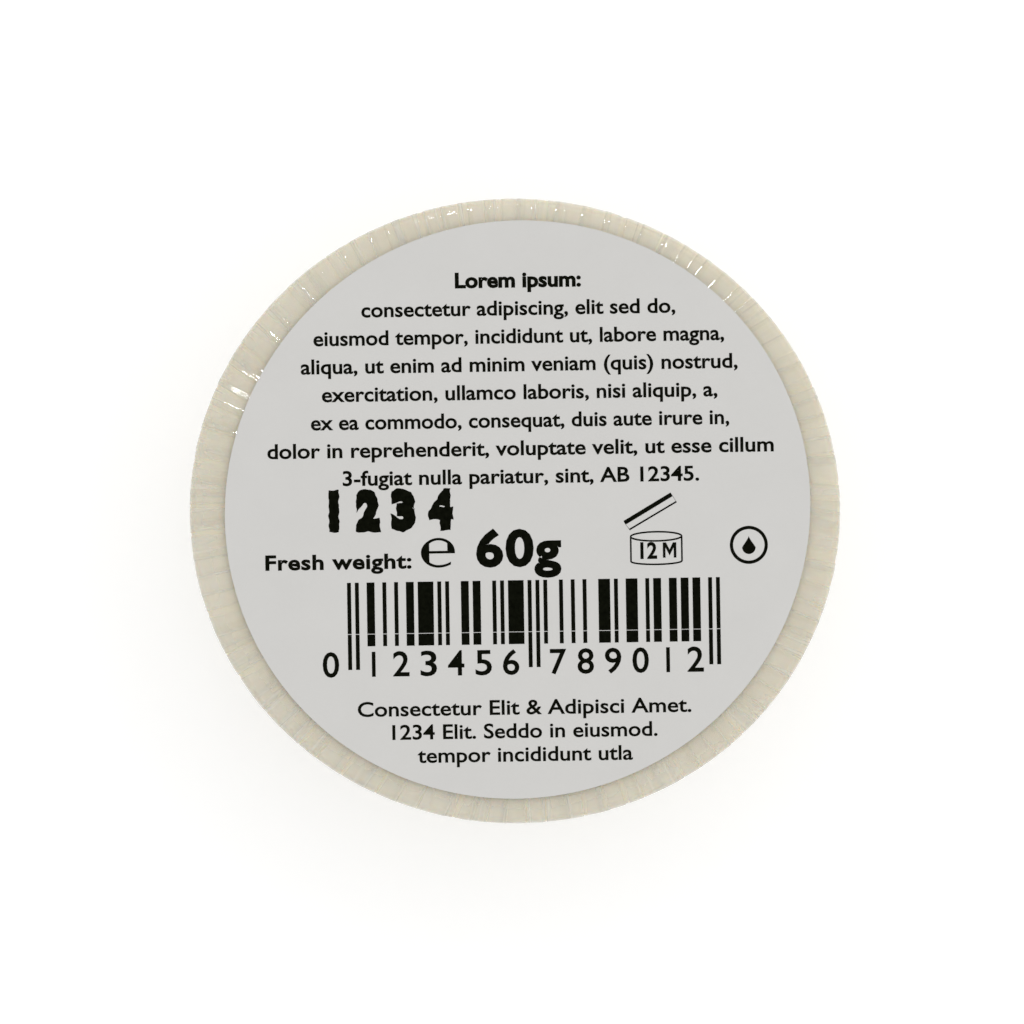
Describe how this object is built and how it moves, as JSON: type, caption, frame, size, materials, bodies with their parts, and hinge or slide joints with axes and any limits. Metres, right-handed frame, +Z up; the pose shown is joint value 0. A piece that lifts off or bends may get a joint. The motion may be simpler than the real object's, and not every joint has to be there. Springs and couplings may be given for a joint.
{
  "type": "shaving soap puck",
  "caption": "Round, slightly oval cake of shaving soap in pleated clear film, closed on the back by a round printed paper label.",
  "frame": {"origin": "middle of the footprint, on the surface that the puck lies on", "axes": "+Z up through the cake from the front label to the back label, +X along the longer way across the oval and along the print's lines, +Y towards the top of the print"},
  "size_m": [0.0602, 0.0578, 0.0219],
  "materials": {
    "cream_soap": "smooth hard soap, cream, slightly translucent",
    "clear_film": "thin clear film, glossy, finely pleated",
    "label_paper": "uncoated white label paper",
    "label_ink": "flat black print"
  },
  "bodies": {
    "wrapped_cake": {"soap_puck": "cream_soap", "film_wrap": "clear_film", "front_label": "label_paper"},
    "closing_label": {"back_label": "label_paper"}
  },
  "joints": [
    {"name": "label_lift", "type": "slide", "parent": "wrapped_cake", "child": "closing_label", "axis": [0, 0, 1], "range_m": [0, 0.03]}
  ]
}
